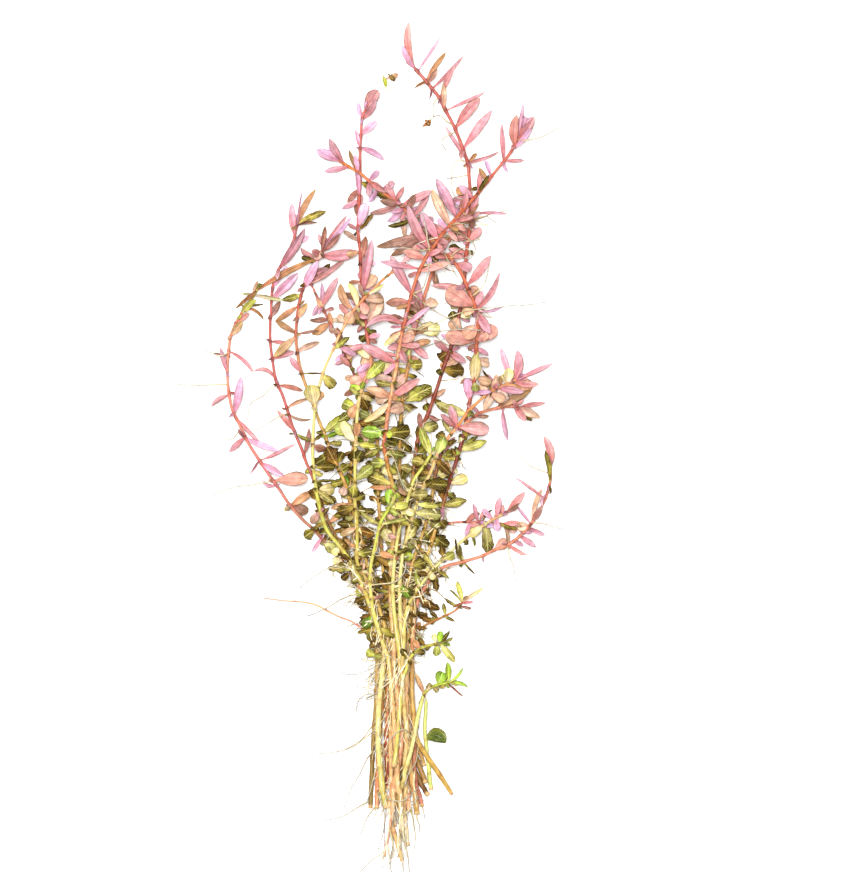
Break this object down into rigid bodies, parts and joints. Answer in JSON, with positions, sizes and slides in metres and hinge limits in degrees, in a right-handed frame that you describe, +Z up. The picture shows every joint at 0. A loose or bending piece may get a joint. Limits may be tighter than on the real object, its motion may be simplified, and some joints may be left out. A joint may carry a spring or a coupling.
{
  "type": "bunch of rotala stems",
  "caption": "Loose bunch of freshly lifted rotala stems lying flat, pink leafy tips fanned at one end and bare golden feet with root threads gathered at the other.",
  "frame": {"origin": "on the surface the bunch lies on, below the middle of its bounding box", "axes": "+Y along the bunch from the cut feet to the leafy tips, +X to the right seen from above, +Z up off the surface"},
  "size_m": [0.129, 0.273, 0.0192],
  "materials": {
    "rosy_shoot": "satin",
    "gold_shoot": "satin",
    "tan_shoot": "satin",
    "green_shoot": "satin"
  },
  "bodies": {
    "root": {"stem_a": "rosy_shoot", "stem_b": "rosy_shoot", "stem_f": "rosy_shoot", "stem_g": "rosy_shoot", "stem_h": "rosy_shoot", "stem_i": "gold_shoot", "stem_j": "rosy_shoot", "stem_k": "tan_shoot", "stem_l": "rosy_shoot", "stem_m": "gold_shoot", "stem_n": "green_shoot", "stem_o": "gold_shoot", "stem_o_side": "rosy_shoot", "stem_w": "tan_shoot", "stem_x": "tan_shoot", "stem_p": "gold_shoot", "stem_q": "rosy_shoot", "stem_r": "rosy_shoot", "stem_d": "rosy_shoot", "stem_s": "tan_shoot", "stem_t": "gold_shoot", "stem_u": "green_shoot", "stem_v": "green_shoot", "stem_z": "tan_shoot"}
  },
  "joints": []
}
